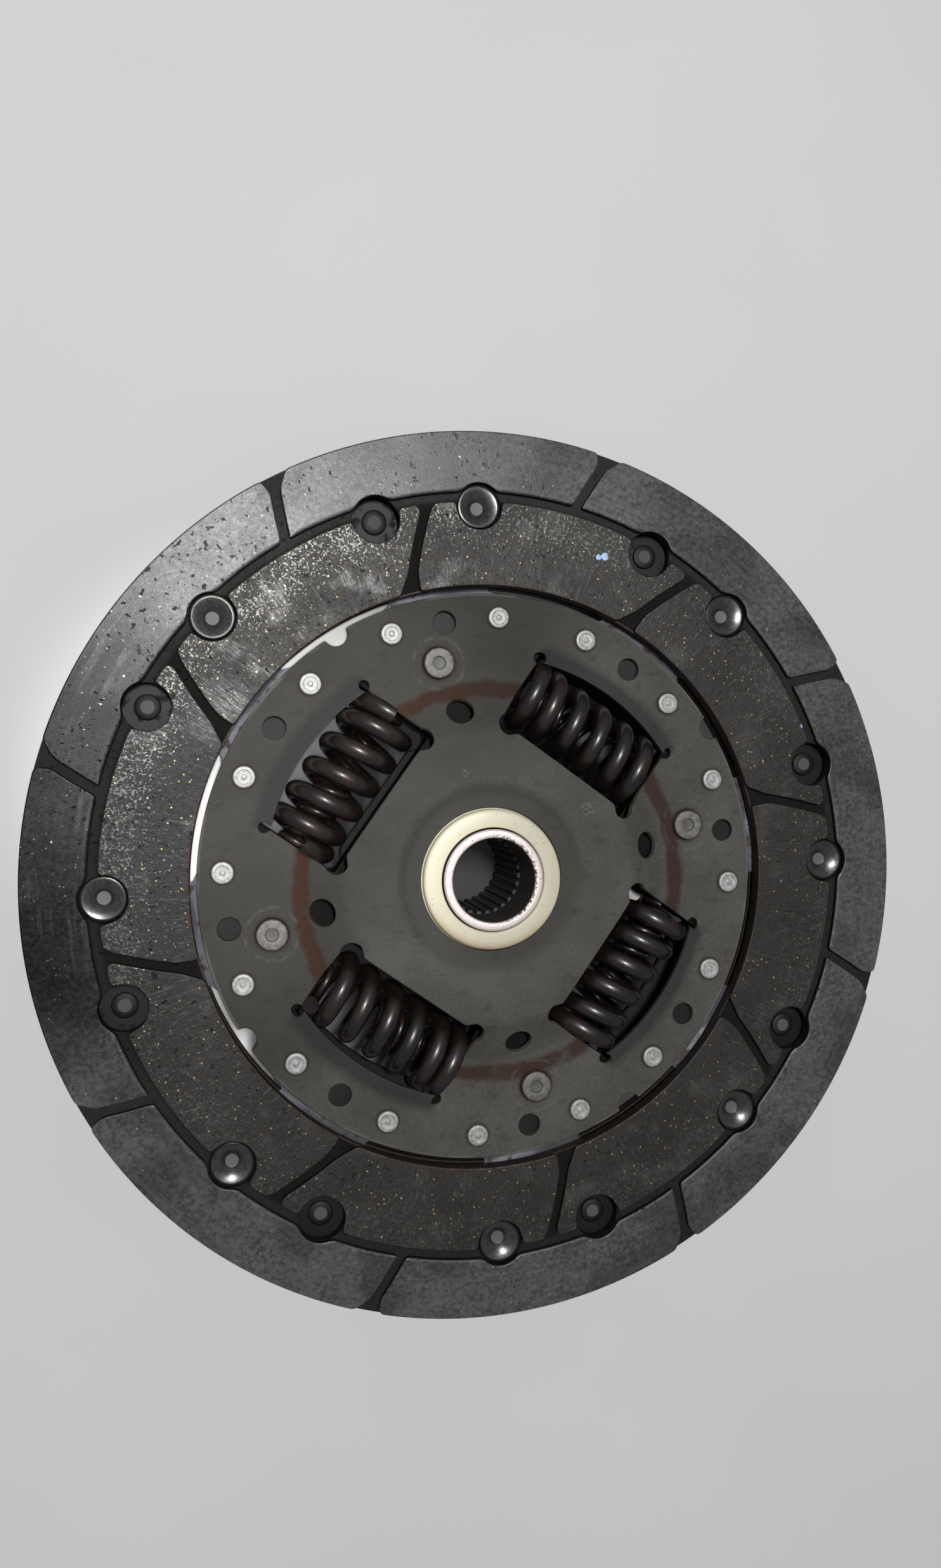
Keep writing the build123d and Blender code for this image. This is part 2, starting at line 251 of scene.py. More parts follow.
teeth, tooth_width, tooth_height, tooth_flank, pitch_r = 28, 1.15, 0.65, 0.12, 10.3
bore_r, bore_end = 10.62, 27.05
outline = eased(
    [
        (10.9, 0), (10.6, 0.35), (10.6, 27), (10.65, 27.1), (10.65, 41.6), (11.05, 42),
        (12.55, 42), (12.95, 41.6), (12.95, 30), (14.5, 30), (14.5, 1), (13.5, 0),
    ],
    [0.1, 0.1, 0.01, 0.01, 0.12, 0.12, 0.12, 0.12, 0.2, 0.2, 0.2, 0.2],
    3,
)
turn = np.linspace(0, 2 * math.pi, teeth * 18, endpoint=False)
off = np.abs((turn * teeth / (2 * math.pi) + 0.5) % 1 - 0.5) * 2 * math.pi * pitch_r / teeth
tooth = 1 - smooth(tooth_width / 2 - tooth_flank, tooth_width / 2 + tooth_flank, off)
in_bore = (outline[:, 0] < bore_r) * (outline[:, 1] < bore_end)
splined = in_bore * smooth(0.1, 0.5, outline[:, 1])
radii = outline[:, :1] - tooth_height * splined[:, None] * tooth
barrel = np.stack(
    [radii * np.cos(turn), radii * np.sin(turn), np.broadcast_to(outline[:, 1:], radii.shape)], -1
).reshape(-1, 3)


def arc(radius, start, end, step=0.5, centre=(0, 0)):
    """Points on a circle between two angles in degrees, about a step apart."""
    count = max(3, int(abs(end - start) * math.pi / 180 * radius / step))
    a = np.radians(np.linspace(start, end, count))
    return np.c_[centre[0] + radius * np.cos(a), centre[1] + radius * np.sin(a)]


def spin(points, degrees):
    """The same points turned about the axis."""
    a = math.radians(degrees)
    return points @ np.array([[math.cos(a), math.sin(a)], [-math.sin(a), math.cos(a)]])


def softened(points, radius, step=0.4):
    """Closed outline at even steps, its corners rounded: each harmonic k of x + iy is
    multiplied by exp(-(2 pi k radius / length)^2 / 2)."""
    z = points[:, 0] + 1j * points[:, 1]
    z = z[np.abs(z - np.roll(z, 1)) > 1e-9]
    side = np.abs(np.roll(z, -1) - z)
    total = side.sum()
    count = int(total / step)
    s = np.r_[0, np.cumsum(side)]
    want = np.arange(count) * total / count
    z = np.r_[z, z[0]]
    z = np.interp(want, s, z.real) + 1j * np.interp(want, s, z.imag)
    k = np.fft.fftfreq(count) * count
    z = np.fft.ifft(np.fft.fft(z) * np.exp(-((2 * math.pi * k * radius / total) ** 2) / 2))
    return np.c_[z.real, z.imag]


def circle(x, y, radius, step=0.35):
    """A closed round outline."""
    count = max(24, int(2 * math.pi * radius / step))
    a = np.linspace(0, 2 * math.pi, count, endpoint=False)
    return np.c_[x + radius * np.cos(a), y + radius * np.sin(a)]


def rounded(thick, edge, hold=0.15):
    """Edge profile of a sheet (inset, depth): flat, quarter round, wall, quarter round, flat."""
    a = np.linspace(0, math.pi / 2, 4)
    top = np.c_[edge * (1 - np.sin(a)), edge * (1 - np.cos(a))]
    low = np.c_[top[::-1, 0], thick - top[::-1, 1]]
    return np.vstack([[edge + hold, 0], top, low, [edge + hold, thick]])


def within(rim, points):
    """Whether each point is inside a closed outline: an odd number of sides to its right."""
    a, b = rim, np.roll(rim, -1, 0)
    x, y = points[:, :1], points[:, 1:]
    level_with = (a[:, 1] > y) != (b[:, 1] > y)
    with np.errstate(divide="ignore", invalid="ignore"):
        cross = a[:, 0] + (y - a[:, 1]) / (b[:, 1] - a[:, 1]) * (b[:, 0] - a[:, 0])
    return (level_with & (x < cross)).sum(1) % 2 == 1


def fill(rims, spots):
    """Delaunay triangles over the region between the first rim and the others."""
    flat = np.vstack([*rims, spots]) if len(spots) else np.vstack(rims)
    edges, start = [], 0
    for rim in rims:
        index = np.arange(start, start + len(rim))
        edges.append(np.c_[index, np.roll(index, -1)])
        start += len(rim)
    made = delaunay_2d_cdt(flat.tolist(), np.vstack(edges).tolist(), [], 0, 1e-6)
    triangles = np.array(made[2])
    middle = np.array(made[0])[triangles].mean(1)
    inside = np.zeros(len(triangles), bool)
    for rim in rims:
        inside ^= within(rim, middle)
    triangles = triangles[inside]
    p = flat[triangles]
    area = np.cross(p[:, 1] - p[:, 0], p[:, 2] - p[:, 0])
    return np.where((area < 0)[:, None], triangles[:, ::-1], triangles)


def sheet(rims, height, spots=(), lean=None, widen=None):
    """Sheet metal or slab under z = h(x, y). Each rim L, with inward normal m, carries its
    edge profile (d, w): P = (L + d m, h(L + d m)) - w n, n upright or the normal of lean.
    Where a bend leaves too little room, m is shortened there and for a while beside it."""

    def lift(flat, depth):
        """Points at a depth under the surface."""
        x, y = flat[:, 0], flat[:, 1]
        n = np.zeros((len(flat), 3))
        n[:, 2] = 1
        if lean is not None:
            n[:, 0] = (lean(x - 0.01, y) - lean(x + 0.01, y)) / 0.02
            n[:, 1] = (lean(x, y - 0.01) - lean(x, y + 0.01)) / 0.02
            n /= np.linalg.norm(n, axis=1, keepdims=True)
        return np.c_[x, y, height(x, y)] - depth[:, None] * n

    points, quads, tops, lows, start = [], [], [], [], 0
    for number, (rim, profile) in enumerate(rims):
        a, b = rim, np.roll(rim, -1, 0)
        area = (a[:, 0] * b[:, 1] - b[:, 0] * a[:, 1]).sum()
        if (area < 0) != (number > 0):
            rim = rim[::-1]
        along = np.roll(rim, -1, 0) - rim
        side = np.linalg.norm(along, axis=1)
        along /= side[:, None]
        m = np.c_[-along[:, 1], along[:, 0]]
        m = m + np.roll(m, 1, 0)
        m /= np.maximum((m * m).sum(1, keepdims=True) / 2, 0.5)
        if widen is not None:
            m = m * widen(rim[:, 0], rim[:, 1])[:, None]
        heading = along[:, 0] + 1j * along[:, 1]
        bend = np.angle(heading / np.roll(heading, 1))
        s = np.cumsum(side) - side
        apart = np.abs(s[:, None] - s)
        apart = np.minimum(apart, side.sum() - apart)
        least_bend, no_limit = 0.03, 99
        limit = 0.6 * side / np.maximum(bend, least_bend)
        room = (np.where(bend > least_bend, limit, no_limit) + 0.5 * apart).min(1)
        most = np.linalg.norm(m, axis=1) * profile[:, 0].max()
        m = m * np.minimum(1, room / np.maximum(most, 1e-6))[:, None]
        flat = rim + profile[:, :1, None] * m
        depth = np.repeat(profile[:, 1], len(rim))
        points.append(lift(flat.reshape(-1, 2), depth))
        quads.append(cells(len(profile), len(rim), False) + start)
        index = np.arange(len(rim)) + start
        tops.append((flat[0], index))
        lows.append((flat[-1], index + (len(profile) - 1) * len(rim)))
        start += len(profile) * len(rim)
    spots = np.array(spots, float).reshape(-1, 2)
    thick = rims[0][1][-1, 1]
    caps = []
    for rings, depth, flip in ((tops, 0, 1), (lows, thick, -1)):
        index = np.concatenate([i for _, i in rings] + [np.arange(len(spots)) + start])
        caps.append(index[fill([flat for flat, _ in rings], spots)][:, ::flip])
        if len(spots):
            points.append(lift(spots, np.full(len(spots), depth)))
            start += len(spots)
    return np.vstack(points), np.vstack(quads), np.vstack(caps)


def level(z):
    """A flat top: h(x, y) = z."""
    return lambda x, y: np.full(len(x), z)


# The windows reach 0.9 mm nearer the axis than the solid's, clear of the tilted springs.
window_half, window_in, flange_r = 21.3, 33.5, 60.5
slot_half, slot_r = 13.5, 51.6
flange_top, flange_thick, flange_bore = 32.5, 5.0, 13.6
corner = math.degrees(math.asin(window_half / flange_r))
side_x = flange_r * math.cos(math.radians(corner))
window_side = [(side_x, -window_half), (window_in, -window_half), (window_in, window_half)]
arm = np.vstack(
    [
        arc(slot_r, -slot_half, slot_half),
        arc(flange_r, slot_half, 45 - corner),
        spin(np.array(window_side), 45),
        arc(flange_r, 45 + corner, 90 - slot_half),
    ]
)
rim = softened(np.vstack([spin(arm, 90 * k) for k in range(4)]), 0.35)
flange_bore_rim = circle(0, 0, flange_bore)
flange = sheet(
    [(rim, rounded(flange_thick, 0.3)), (flange_bore_rim, rounded(flange_thick, 0.1))],
    level(flange_top),
)

steel = Finish("HubSteel", IOR=1.4)
worn = steel.at.noise(0.6, 4.0)
fine = steel.at.noise(4.0, 3.0)
end_face = steel.z.step(41.2, 41.8) * steel.r.step(10.7, 10.9)
nick_side = steel.x.step(-5.0, 7.0) * steel.r.step(11.7, 11.0)
nicks = steel.at.noise(1.6, 4.0).step(0.5, 0.56) * nick_side
nicks = nicks.most(steel.at.noise(2.2, 3.0).step(0.66, 0.7))
bright = end_face * (1 - nicks)
body_tone = worn.mix((0.02, 0.017, 0.015, 1), (0.05, 0.042, 0.037, 1))
bore_tone = fine.mix((0.012, 0.011, 0.01, 1), (0.06, 0.052, 0.045, 1))
tone = steel.r.step(12.2, 12.9).mix(bore_tone, body_tone)
# Painted shade: the flange, which lies between the plates, is painted near-black and made more
# metallic.
tone = steel.r.step(15.0, 17.0).mix(tone, (0.006, 0.0055, 0.005, 1))
steel.set("Base Color", bright.mix(tone, (0.78, 0.68, 0.65, 1)))
steel.set("Metallic", bright * 0.5 + steel.r.step(15.0, 17.0) * 0.8)
steel.set("Roughness", 0.52 - bright * 0.2 + fine * 0.1)
steel.bump(fine + nicks * -2.0, 0.5, 0.08)
barrel_faces = cells(len(outline), len(turn), True)
build("HubBarrel", "hub", "hub_steel", steel, ["hub"], (barrel, barrel_faces))
build("HubFlange", "hub", "hub_steel", steel, ["hub"], flange)

# ------------------------------------------------------------------ friction pack
# A thrust ring and a coned spring washer between the hub flange and the counter plate,
# which damp the twisting. Moulded composite and hardened steel, stacked on the sleeve.


def turned(corners, radius, steps=96, solid=False, at=(0, 0)):
    """P(u, v) = (r(u) cos v, r(u) sin v, z(u)) over an eased outline (r, z), v once round.
    A solid one starts and ends on the axis, where a flat cap closes it."""
    line = eased(corners, radius)
    if solid:
        line = line[line[:, 0] > 0.05]
    r, z = line[:, :1], line[:, 1:]
    v = np.linspace(0, 2 * math.pi, steps, endpoint=False)
    points = np.stack([r * np.cos(v), r * np.sin(v), np.broadcast_to(z, (len(z), steps))], -1)
    points = points.reshape(-1, 3) + (*at, 0)
    quads = cells(len(line), steps, not solid)
    if not solid:
        return points, quads
    cap = np.arange(steps)
    return points, quads, cap[None, :], (cap + (len(line) - 1) * steps)[None, ::-1]


composite = Finish("ThrustComposite", Roughness=0.75)
tone = composite.at.noise(0.8).mix((0.03, 0.026, 0.022, 1), (0.075, 0.06, 0.048, 1))
composite.set("Base Color", tone)
build(
    "FrictionRing", "plates", "nylon", composite, ["friction_ring"],
    turned([(15.6, 25.2), (24, 25.2), (24, 27.3), (15.6, 27.3)], 0.25),
)
blued = Finish("WasherSteel", Metallic=0.7, Roughness=0.42)
tone = blued.at.noise(0.5, 3.0).mix((0.05, 0.05, 0.06, 1), (0.14, 0.12, 0.11, 1))
blued.set("Base Color", tone)
build(
    "DiaphragmSpring", "plates", "segment_steel", blued, ["diaphragm_spring"],
    turned([(17, 24.3), (27.7, 21.8), (28, 22.7), (17.3, 25.2)], 0.2),
)

# ------------------------------------------------------------------ pressed plates
# The drive plate above and the counter plate below carry the springs in their windows.
# Pressed steel sheet, phosphated dark, with lips bent up along the windows; a rusty band
# runs round the foot of the cone, and the plate is darker round the pins and rivets.
plate_top, plate_thick = 34.6, 1.8
slope, cone_foot, cone_head, cone_bend = 0.54, 47.8, 37.8, 1.1
lip_root, lip_tip, lip_end, lip_height, lip_half, lip_bend = 62.3, 57.2, 65.0, 2.65, 20.2, 0.9
recess_depth, recess_r = 0.8, 21.6
window_r, relief_r, tip_relief_r = 34.4, 3.0, 1.45
pin_circle, pin_turn, pin_hole = 56.7, 3.4, 4.05
rivet_circle, rivet_turn = 67.2, 12.15


def soft_ramp(value, bend):
    """(v + sqrt(v^2 + b^2)) / 2, a ramp that starts with a bend instead of a corner."""
    return (value + np.sqrt(value * value + bend * bend)) / 2


def cone(x, y):
    """Outer flat, cone and raised centre: top + slope (ramp(foot - r) - ramp(head - r))."""
    r = np.hypot(x, y)
    rise = soft_ramp(cone_foot - r, cone_bend) - soft_ramp(cone_head - r, cone_bend)
    return plate_top + slope * rise


def dished(x, y):
    """The cone with its shallow recess round the bore and the lips along the windows."""
    r, a = np.hypot(x, y), np.degrees(np.arctan2(y, x))
    aside = np.abs(a % 90 - 45)
    lip = slope * (soft_ramp(lip_root - r, lip_bend) - soft_ramp(lip_root - lip_end, lip_bend))
    lip = np.clip(lip, 0, lip_height) * (1 - smooth(lip_half, 22.6, aside)) * (r > 56.5)
    return cone(x, y) - recess_depth * (1 - smooth(recess_r, 25.0, r)) + lip


def window_rim(number):
    """One window: inner edge with corner reliefs, sides, relief holes and the lip's tip."""
    half = np.vstack(
        [
            np.array([(window_r, 0.0), (window_r, 15.9)]),
            arc(relief_r, 199.0, 56.5, 0.35, (35.4, 18.8)),
            arc(tip_relief_r, 192.0, -133.0, 0.2, (54.58, 21.61)),
            arc(lip_tip, 20.9, 0.0, 0.4),
        ]
    )
    other = half[::-1] * (1, -1)
    return spin(softened(np.vstack([half, other]), 0.3, 0.3), 45 + 90 * number)


def polar(r, a):
    """Points from radii and angles in degrees."""
    return np.c_[r * np.cos(np.radians(a)), r * np.sin(np.radians(a))]


def plate(outer, bore, holes, edge):
    """Rims and inner points of a pressed plate, for sheet: points where the surface bends,
    round the axis and along the lips, if they are well inside the outer rim only."""
    rims = [outer, circle(0, 0, bore)] + [window_rim(k) for k in range(4)] + holes
    rings = np.r_[bore + 0.6:25.6:0.6, 26.5:35:2, 35:50:0.75]
    r, a = [grid.ravel() for grid in np.meshgrid(rings, np.arange(0, 360, 1.5))]
    spots = [polar(r, a)]
    rings = np.arange(57.8, 64.5, 0.45)
    r, a = [grid.ravel() for grid in np.meshgrid(rings, np.arange(-23.4, 23.5, 0.6))]
    spots = np.vstack(spots + [polar(r, a + 45 + 90 * k) for k in range(4)])
    keep = np.ones(len(spots), bool)
    for number, rim in enumerate(rims):
        gap = np.abs((spots[:, :1] - rim[:, 0]) + 1j * (spots[:, 1:] - rim[:, 1])).min(1)
        keep &= (gap > edge + 0.4) & (within(rim, spots) == (number == 0))
    return [(rim, rounded(plate_thick, edge)) for rim in rims], spots[keep]


def around(radius, start, count, size, step=0.3):
    """Round holes spaced evenly on a circle."""
    angles = [math.radians(start + 360 / count * k) for k in range(count)]
    return [circle(radius * math.cos(a), radius * math.sin(a), size, step) for a in angles]


def turned_over(shells, height):
    """The shells upside down between 0 and a height: (x, -y, height - z)."""
    return [(points * (1, -1, -1) + (0, 0, height), *faces) for points, *faces in shells]


plate_r, plate_bore, plate_edge = 73.4, 18.3, 0.28
notch_r, notch_turn, notch_half = 3.1, 22.5, 2.42
notches = []
for k in range(4):
    a0, a1 = 90 * k + notch_turn + notch_half, 90 * (k + 1) + notch_turn - notch_half
    notches.append(arc(plate_r, a0, a1))
    bite = arc(notch_r, 91.2, 268.8, 0.25, (plate_r, 0))
    notches.append(spin(bite, 90 * (k + 1) + notch_turn)[::-1])
notched = softened(np.vstack(notches), 0.25, 0.35)
oval = circle(0, 0, 3.55, 0.3) * (0.88, 1) + (43.7, 0)
holes = [spin(oval, 90 * k + 0.4) for k in range(4)]
holes += around(pin_circle, pin_turn, 4, pin_hole) + around(66.6, 0, 8, 2.9)
rims, spots = plate(notched, plate_bore, holes, plate_edge)
drive = sheet(rims, dished, spots, lean=cone)
counter_r, counter_bore, plates_height = 64.5, 15.4, 60
holes = around(pin_circle, -pin_turn, 4, pin_hole)
rims, spots = plate(circle(0, 0, counter_r, 0.5), counter_bore, holes, plate_edge)
counter = turned_over([sheet(rims, dished, spots, lean=cone)], plates_height)

phosphate = Finish("PlatePhosphate", IOR=1.35)
cloud = phosphate.at.noise(0.05, 5.0)
grain = phosphate.at.noise(1.2, 5.0)
dust = phosphate.at.noise(6.0, 2.0)
mottle = (cloud * 0.6 + grain * 0.4).step(0.32, 0.68)
tone = mottle.mix((0.054, 0.051, 0.044, 1), (0.09, 0.085, 0.075, 1))
smears = phosphate.at.stretch(1, 1.6, 1).noise(0.22, 4.0).step(0.56, 0.74)
tone = (smears * 0.4).mix(tone, (0.026, 0.025, 0.025, 1))
# Painted shade: the plates are darker towards the upper left, where y is larger than x.
painted_shade = (phosphate.y - phosphate.x).step(0.0, 40.0)
tone = (painted_shade * 0.65).mix(tone, (0.02, 0.019, 0.017, 1))
# Painted shade: a darker ring round the bush, over its shallow recess.
recess_shade = phosphate.r.step(26.5, 22.0)
tone = (recess_shade * 0.5).mix(tone, (0.028, 0.027, 0.025, 1))
lips = phosphate.z.step(34.9, 35.8) * phosphate.r.step(56.0, 57.0)
tone = (lips * 0.6).mix(tone, (0.03, 0.03, 0.034, 1))
rivet_gap = phosphate.nearest(rivet_circle, rivet_turn, 8)
rivet_gap = rivet_gap.least(phosphate.nearest(rivet_circle, -rivet_turn, 8))
pin_gap = phosphate.nearest(pin_circle, pin_turn, 4)
# A darker brown ring round the pin and rivet heads.
dark_ring_round_heads = rivet_gap.step(3.6, 2.9).most(pin_gap.step(5.2, 4.3))
tone = (dark_ring_round_heads * 0.7).mix(tone, (0.02, 0.014, 0.012, 1))
aside, across = phosphate.x - 1.5, phosphate.y + 1.5
band = (aside * aside + across * across) ** 0.5 + (phosphate.at.noise(0.18, 4.0) - 0.5) * 3.0
rust = band.step(47.2, 48.8) * band.step(53.0, 51.0)
rust = rust * phosphate.at.noise(0.1, 4.0).step(0.25, 0.5)
rust_tone = grain.mix((0.018, 0.006, 0.003, 1), (0.042, 0.016, 0.009, 1))
tone = (rust * 0.85).mix(tone, rust_tone)
rub = pin_gap.step(6.0, 6.5) * pin_gap.step(7.3, 6.8)
rub = rub * phosphate.at.noise(0.35, 3.0).step(0.4, 0.6)
edge_rub = phosphate.r.step(72.5, 73.1) * phosphate.at.noise(0.06, 2.0).step(0.45, 0.62)
scuff = phosphate.near(31.0, 25.0, 2.6).most(phosphate.near(28.0, 95.0, 1.3) * 0.5)
scuff = scuff * phosphate.at.stretch(1, 3, 1).noise(1.0, 4.0).step(0.52, 0.6)
light = (rub * 0.12 + edge_rub * 0.3 + scuff * 0.6).least(1.0)
tone = light.mix(tone, (0.22, 0.21, 0.19, 1))
# The counter plate's upper side, which lies deep under the windows, is painted black: painted
# shade under the drive plate.
normal = phosphate.z.node("TexCoord", {}, out=1)
upright = normal.node("SeparateXYZ", {0: normal}, out=2)
shaded_inner_side = phosphate.z.step(31.0, 30.0) * upright.step(-0.3, 0.1)
phosphate.set("Base Color", shaded_inner_side.mix(tone, (0.008, 0.008, 0.008, 1)))
phosphate.set("Metallic", 0.15 - rust * 0.15)
phosphate.set("Roughness", 0.62 + grain * 0.12 + rust * 0.15)
phosphate.bump(grain * 0.6 + dust * 0.4, 0.35, 0.06)
build("DrivePlate", "plates", "plate_steel", phosphate, ["drive_plate"], drive)
build("CounterPlate", "plates", "plate_steel", phosphate, ["counter_plate"], *counter)

# ------------------------------------------------------------------ damper springs
# Four pairs of coil springs that take up the twist: a thick one with a thin one inside.
# Oil-tempered chrome silicon wire, coiled cold, their end turns closed and ground flat.
spring_circle, spring_z = 45.6, 30


def coil(mean, wire, turns, phase, angle, half=21.3, sides=24, steps=44):
    """P(s, v) = C(s) + w (N cos v + B sin v), C = (R cos a, R sin a, h(s)), R the mean radius
    and w the wire's. h rises by 2.02 w over each closed end turn and evenly between; the
    ends are clipped at +-half."""
    turn = np.linspace(0, turns, turns * steps + 1)
    closed = 1 - smooth(0.85, 1.15, turn) + smooth(turns - 1.15, turns - 0.85, turn)
    start = 0.7 * wire - half
    end_pitch = 2.02 * wire
    pitch = (-2 * start - end_pitch * 2) / (turns - 2)
    climb = pitch + (end_pitch - pitch) * closed
    rise = np.r_[0, np.cumsum((climb[1:] + climb[:-1]) / 2 * (turn[1] - turn[0]))]
    rise = start + rise * (-2 * start / rise[-1])
    a = 2 * math.pi * turn + math.radians(phase)
    radial = np.stack([np.cos(a), np.sin(a), 0 * a], 1)
    path = radial * mean + np.stack([0 * a, 0 * a, rise], 1)
    tangent = np.gradient(path, axis=0)
    tangent /= np.linalg.norm(tangent, axis=1, keepdims=True)
    across = np.cross(tangent, radial)
    v = np.linspace(0, 2 * math.pi, sides, endpoint=False)[None, :, None]
    tube = path[:, None] + wire * (radial[:, None] * np.cos(v) + across[:, None] * np.sin(v))
    tube = tube.reshape(-1, 3)
    tube[:, 2] = np.clip(tube[:, 2], -half, half)
    out = np.array([math.cos(math.radians(angle)), math.sin(math.radians(angle)), 0])
    ahead = np.array([-out[1], out[0], 0])
    world = tube[:, :1] * out + tube[:, 1:2] * (0, 0, -1) + tube[:, 2:] * ahead
    world = world + spring_circle * out + (0, 0, spring_z)
    cap = np.arange(sides)
    last = (cap + (len(path) - 1) * sides)[None, ::-1]
    return world, cells(len(path), sides, False), cap[None, :], last


tempered = Finish("SpringSteel", Metallic=0.3, Coat_Roughness=0.2, IOR=1.7)
patch = tempered.at.noise(0.16, 4.0)
grime = tempered.at.noise(1.5, 4.0)
tone = patch.step(0.35, 0.65).mix((0.006, 0.0045, 0.004, 1), (0.016, 0.01, 0.008, 1))
redness = tempered.at.noise(0.3, 3.0).step(0.55, 0.72)
tone = (redness * 0.6).mix(tone, (0.034, 0.009, 0.007, 1))
tone = grime.step(0.6, 0.75).mix(tone, (0.013, 0.01, 0.009, 1))
tempered.set("Base Color", tone)
tempered.set("Roughness", 0.26 + grime * 0.22)
tempered.set("Coat Weight", 0.35 - redness * 0.2)
tempered.bump(grime, 0.25, 0.05)
wire_starts = (47, 263, -40, 162)
for number, phase in enumerate(wire_starts, 1):
    angle = 90 * number - 45
    out = (math.cos(math.radians(angle)), math.sin(math.radians(angle)), 0)
    along = (-out[1], out[0], 0)
    outer = build(
        f"DamperSpring{number}", "springs", "spring_steel", tempered, [f"damper_spring_{number}"],
        coil(7.85, 2.35, 6, phase, angle),
    )
    inner = build(
        f"InnerSpring{number}", "springs", "spring_steel", tempered, [f"inner_spring_{number}"],
        coil(4.0, 1.0, 8, phase + 90, angle, sides=14, steps=36),
    )
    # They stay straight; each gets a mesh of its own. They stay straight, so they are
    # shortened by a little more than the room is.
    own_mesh(outer)
    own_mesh(inner)

# ------------------------------------------------------------------ bush
# The guide bush that centres the drive plate on the sleeve. Natural nylon, moulded, gone
# brownish on one side and speckled with dust.
nylon = Finish("Nylon", Roughness=0.42, Subsurface_Weight=0.15, Subsurface_Scale=0.001)
lower = (nylon.y * -1.0 - nylon.x * 0.25).step(5.0, 17.0) * nylon.r.step(15.5, 17.8)
dark = nylon.at.specks(0.9, 0.14, 0.4)
tone = nylon.at.noise(0.2, 3.0).mix((0.52, 0.485, 0.36, 1), (0.6, 0.565, 0.43, 1))
tone = (lower * 0.6).mix(tone, (0.32, 0.2, 0.1, 1))
nylon.set("Base Color", dark.mix(tone, (0.04, 0.03, 0.025, 1)))
nylon.bump(nylon.at.noise(2.0), 0.15, 0.05)
build(
    "HubBush", "plates", "nylon", nylon, ["hub_bush"],
    turned(
        [
            (13.3, 32.7), (17.9, 32.7), (17.9, 36.2), (22.5, 36.2),
            (22.5, 38), (17.9, 38), (17.9, 40.9), (13.3, 40.9),
        ],
        [0.3, 0.3, 0.2, 0.3, 0.3, 0.2, 0.9, 0.35], 128,
    ),
)

# ------------------------------------------------------------------ stop pins
# Shouldered pins that hold the two plates apart, tie them and limit the twist. Turned
# steel, their ends upset over the plates and dimpled by the riveting tool.


def studs(corners, radius, steps, ring, angles):
    """The same solid of revolution at several angles on a circle."""
    turns = [math.radians(angle) for angle in angles]
    spots = [(ring * math.cos(a), ring * math.sin(a)) for a in turns]
    return [turned(corners, radius, steps, solid=True, at=spot) for spot in spots]


pin = Finish("PinSteel", IOR=1.8, Metallic=0.3)
worn = pin.at.noise(0.7, 4.0)
gap = pin.nearest(pin_circle, pin_turn, 4)
tone = worn.step(0.3, 0.7).mix((0.075, 0.072, 0.067, 1), (0.16, 0.152, 0.14, 1))
tone = (gap.step(1.9, 1.4) * 0.7).mix(tone, (0.05, 0.048, 0.045, 1))
pin.set("Base Color", (gap.step(3.6, 3.95) * 0.7).mix(tone, (0.05, 0.018, 0.012, 1)))
pin.set("Roughness", 0.48 + worn * 0.2)
pin.bump(pin.at.noise(3.0, 3.0), 0.3, 0.05)
pins = studs(
    [
        (0, 24.6), (1.6, 24.6), (1.7, 24.1), (3.95, 24.1), (3.95, 27.2), (4.6, 27.2),
        (4.6, 32.8), (3.95, 32.8), (3.95, 35.9), (1.7, 35.9), (1.55, 35.35), (0, 35.35),
    ],
    [0.01, 0.1, 0.1, 0.45, 0.05, 0.2, 0.2, 0.05, 0.45, 0.12, 0.12, 0.01],
    64, pin_circle, [90 * k + pin_turn for k in range(4)],
)
build("StopPins", "plates", "pin_steel", pin, ["stop_pins"], *pins)

# ------------------------------------------------------------------ cushion segments
# Eight thin waved leaves between the facings, which let the clutch take up softly.
# Spring steel, stamped and folded along the middle, riveted by the foot to the plate.
leaf_low, leaf_rise, leaf_thick = 32.8, 1.1, 0.7
well_circle, well_turn = 95.1, 8.1


def waved(x, y):
    """Low on one half, higher on the other beyond the neck, with a fold between them."""
    return leaf_low + leaf_rise * smooth(73.5, 76.5, x) * (1 - smooth(-4, 4, y))


leaf_half = np.vstack(
    [
        arc(62.5, 0, 15.5), arc(71.5, 15.5, 15.4), np.array([(73.5, 12.8), (76.5, 16.2)]),
        arc(77.5, 21.5, 21.4), arc(110, 21.5, 0),
    ]
)
leaf_rim = softened(np.vstack([leaf_half, leaf_half[::-1] * (1, -1)]), 0.5, 0.6)
gx, gy = np.meshgrid(np.r_[73.6:77:0.4, 80:109:4], np.arange(-4.5, 4.6, 0.75))
rims = [(leaf_rim, rounded(leaf_thick, 0.12))]
for a in np.radians((-well_turn, well_turn)):
    rivet_hole = circle(well_circle * math.cos(a), well_circle * math.sin(a), 2.2)
    rims.append((rivet_hole, rounded(leaf_thick, 0.1)))
leaf = sheet(rims, waved, np.c_[gx.ravel(), gy.ravel()])
spring_sheet = Finish("SegmentSteel", Metallic=0.5)
spots_rust = spring_sheet.at.noise(0.3, 4.0).step(0.52, 0.68)
spots_rust = spots_rust * spring_sheet.r.step(70.5, 73.5)
tone = spring_sheet.at.noise(0.9, 3.0).mix((0.05, 0.05, 0.06, 1), (0.09, 0.09, 0.105, 1))
tone = (spots_rust * 0.7).mix(tone, (0.05, 0.02, 0.012, 1))
# Painted shade: near-black wherever it is covered; bright steel shows only between plate and
# facing.
painted_shade = spring_sheet.r.step(70.5, 69.5).most(spring_sheet.r.step(76.5, 78.0))
spring_sheet.set("Base Color", painted_shade.mix(tone, (0.006, 0.006, 0.006, 1)))
spring_sheet.set("Roughness", 0.5 + spots_rust * 0.3)
for number in range(8):
    flat = np.c_[spin(leaf[0][:, :2], 45 * number), leaf[0][:, 2]]
    build(
        f"CushionSegment{number + 1}", "plates", "segment_steel", spring_sheet,
        [f"cushion_segment_{number + 1}"], (flat, *leaf[1:]),
    )

